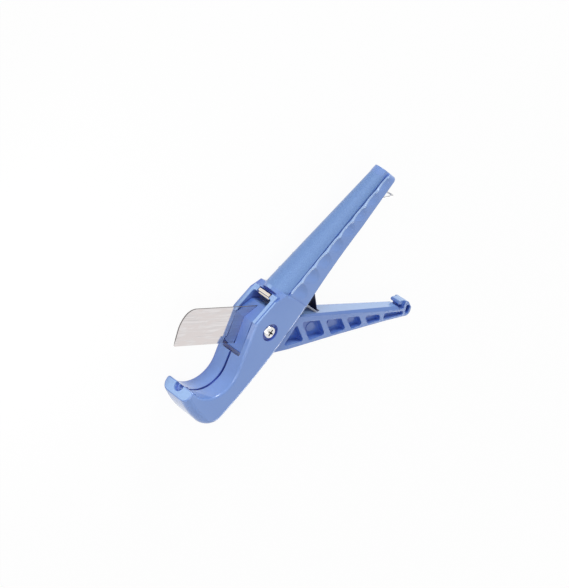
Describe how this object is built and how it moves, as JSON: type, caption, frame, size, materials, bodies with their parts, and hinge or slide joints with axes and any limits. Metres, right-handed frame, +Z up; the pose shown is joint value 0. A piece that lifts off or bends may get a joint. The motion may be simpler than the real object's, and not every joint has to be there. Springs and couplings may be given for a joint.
{
  "type": "pvc pipe cutter",
  "caption": "Hand pipe cutter: a blue plastic jaw with a grooved handle, a ribbed lever that swings a broad steel blade, a leaf return spring and a wire latch",
  "frame": {"origin": "centre of the bounding box's bottom face, with the tool lying on its far cheek at rest, open", "axes": "+Z up along the lever pivot, towards the screw head; +X from the jaw to the handle's end; +Y to the side that the jaw opens on"},
  "size_m": [0.2168, 0.1886, 0.0295],
  "materials": {
    "blue_plastic": "satin moulded",
    "blade_steel": "polished",
    "pin_steel": "ground",
    "plated_steel": "bright plated",
    "spring_steel": "blued strip",
    "latch_wire": "drawn wire"
  },
  "bodies": {
    "handle": {"jaw_handle": "blue_plastic", "pivot_sleeve": "pin_steel", "pivot_screw": "plated_steel", "pivot_nut": "plated_steel", "spring_pin": "pin_steel", "return_spring": "spring_steel"},
    "lever": {"lever": "blue_plastic", "blade": "blade_steel", "blade_pin_front": "pin_steel", "blade_pin_back": "pin_steel"},
    "latch": {"wire_latch": "latch_wire"}
  },
  "joints": [
    {"name": "lever_pivot", "type": "hinge", "parent": "handle", "child": "lever", "pos_m": [-0.03004, 0.03039, 0.0145], "axis": [0, 0, 1], "range_deg": [-12, 43], "stiffness_Nm_per_rad": 0.5, "deforming": ["return_spring"]},
    {"name": "latch_pivot", "type": "hinge", "parent": "handle", "child": "latch", "pos_m": [0.08596, 0.00939, 0.0145], "axis": [0, 0, 1], "range_deg": [0, 30]}
  ]
}
